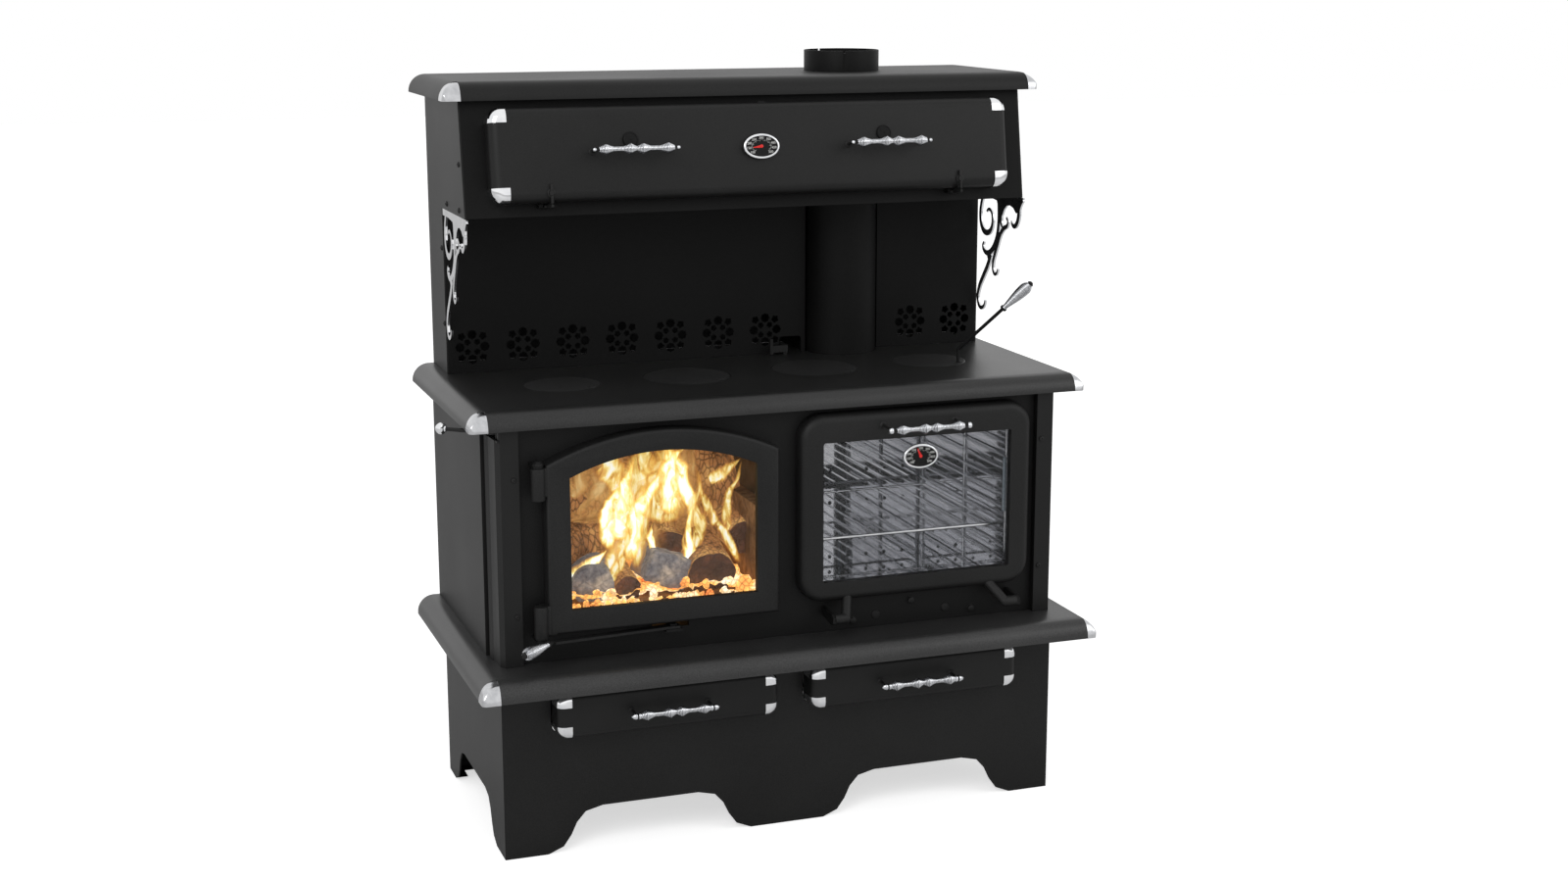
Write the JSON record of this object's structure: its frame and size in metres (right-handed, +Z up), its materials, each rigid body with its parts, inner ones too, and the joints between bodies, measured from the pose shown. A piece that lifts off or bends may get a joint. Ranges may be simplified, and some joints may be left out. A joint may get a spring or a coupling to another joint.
{
  "type": "wood cookstove",
  "caption": "Wood-burning cookstove with glazed fire door and oven door, lift-out lids, a warming closet over a pierced splash back, two drawers in a scalloped plinth and coil handles",
  "frame": {"origin": "bottom centre of the stove's overall box, on the floor", "axes": "+Z up, front of the stove towards -Y, fire door on the -X side"},
  "size_m": [1.2628, 0.6224, 1.471],
  "materials": {
    "black_paint": "satin black stove enamel, fine speckle",
    "cast_black": "black stove enamel on cast iron",
    "cooktop_iron": "polished dark iron, semi-gloss",
    "chrome": "bright nickel or chrome plate",
    "stainless": "brushed stainless oven lining",
    "firebrick": "matt fired clay, stated as matte_plastic because the list has no ceramic",
    "steel": "blackened steel rods and sheet",
    "glass": "clear ceramic glass"
  },
  "bodies": {
    "root": {"ash_drawer_runners": "steel", "back_panel": "black_paint", "closet_shell": "black_paint", "closet_top": "black_paint", "cooktop": "cooktop_iron", "corner_post_left": "black_paint", "corner_post_right": "black_paint", "fire_grate": "cast_black", "firebox_shell": "steel", "firebricks": "firebrick", "flue_pipe": "cast_black", "front_panel": "cast_black", "oven_liner": "stainless", "plinth": "black_paint", "rack_guide_left": "chrome", "rack_guide_right": "chrome", "scroll_bracket_left": "chrome", "scroll_bracket_right": "chrome", "shelf": "cast_black", "side_panel_left": "black_paint", "side_panel_right": "black_paint", "splash_panel_left": "black_paint", "splash_panel_right": "black_paint", "storage_drawer_runners": "steel", "upper_back": "black_paint", "upper_side_left": "black_paint", "upper_side_right": "black_paint"},
    "fire_door": {"fire_door_frame": "cast_black", "fire_door_glass": "glass"},
    "oven_door": {"oven_door_frame": "cast_black", "oven_door_glass": "glass", "oven_handle": "steel", "oven_handle_coil": "chrome", "oven_thermometer": "chrome"},
    "oven_pointer": {"oven_thermometer_pointer": "cast_black"},
    "closet_door": {"closet_door": "black_paint", "closet_handle_left": "steel", "closet_handle_left_coil": "chrome", "closet_handle_right": "steel", "closet_handle_right_coil": "chrome", "closet_thermometer": "chrome"},
    "closet_pointer": {"closet_thermometer_pointer": "cast_black"},
    "ash_drawer": {"ash_drawer": "black_paint", "ash_drawer_handle": "steel", "ash_drawer_handle_coil": "chrome"},
    "storage_drawer": {"storage_drawer": "black_paint", "storage_drawer_handle": "steel", "storage_drawer_handle_coil": "chrome"},
    "air_lever": {"air_lever": "cast_black", "air_lever_coil": "chrome"},
    "side_lever": {"side_lever": "chrome"},
    "bypass_lever": {"bypass_lever": "cast_black"},
    "lid_left_outer": {"lid_left_outer": "cooktop_iron"},
    "lid_left_inner": {"lid_left_inner": "cooktop_iron"},
    "lid_right_inner": {"lid_right_inner": "cooktop_iron"},
    "lid_right_outer": {"lid_right_outer": "cooktop_iron", "lid_lifter": "steel", "lid_lifter_coil": "chrome"},
    "oven_rack": {"oven_rack": "chrome"}
  },
  "joints": [
    {"name": "fire_door_hinge", "type": "hinge", "parent": "root", "child": "fire_door", "pos_m": [-0.47197, -0.2338, 0.6], "axis": [0, 0, -1], "range_deg": [0, 95]},
    {"name": "oven_door_hinge", "type": "hinge", "parent": "root", "child": "oven_door", "pos_m": [0.27403, -0.2548, 0.416], "axis": [1, 0, 0], "range_deg": [0, 90]},
    {"name": "oven_pointer_turn", "type": "hinge", "parent": "oven_door", "child": "oven_pointer", "pos_m": [0.27103, -0.2528, 0.722], "axis": [0, 1, 0], "range_deg": [-100, 100]},
    {"name": "closet_door_hinge", "type": "hinge", "parent": "root", "child": "closet_door", "pos_m": [0.01503, -0.04477, 1.20269], "axis": [1, 0, 0], "range_deg": [0, 90]},
    {"name": "closet_pointer_turn", "type": "hinge", "parent": "closet_door", "child": "closet_pointer", "pos_m": [0.01503, -0.06899, 1.30335], "axis": [0, 0.9871, -0.1598], "range_deg": [-20, 200]},
    {"name": "ash_drawer_slide", "type": "slide", "parent": "root", "child": "ash_drawer", "axis": [0, -1, 0], "range_m": [0, 0.36]},
    {"name": "storage_drawer_slide", "type": "slide", "parent": "root", "child": "storage_drawer", "axis": [0, -1, 0], "range_m": [0, 0.36]},
    {"name": "air_lever_pivot", "type": "hinge", "parent": "root", "child": "air_lever", "pos_m": [-0.21597, -0.2188, 0.425], "axis": [0, 0, 1], "range_deg": [0, 20]},
    {"name": "side_lever_pivot", "type": "hinge", "parent": "root", "child": "side_lever", "pos_m": [-0.52997, -0.1938, 0.812], "axis": [0, 0, 1], "range_deg": [0, 20]},
    {"name": "bypass_slide", "type": "slide", "parent": "root", "child": "bypass_lever", "axis": [1, 0, 0], "range_m": [0, 0.02]},
    {"name": "lid_left_outer_lift", "type": "slide", "parent": "root", "child": "lid_left_outer", "axis": [0, 0, 1], "range_m": [0, 0.12]},
    {"name": "lid_left_inner_lift", "type": "slide", "parent": "root", "child": "lid_left_inner", "axis": [0, 0, 1], "range_m": [0, 0.12]},
    {"name": "lid_right_inner_lift", "type": "slide", "parent": "root", "child": "lid_right_inner", "axis": [0, 0, 1], "range_m": [0, 0.12]},
    {"name": "lid_right_outer_lift", "type": "slide", "parent": "root", "child": "lid_right_outer", "axis": [0, 0, 1], "range_m": [0, 0.12]},
    {"name": "oven_rack_slide", "type": "slide", "parent": "root", "child": "oven_rack", "axis": [0, -1, 0], "range_m": [0, 0.015]}
  ]
}
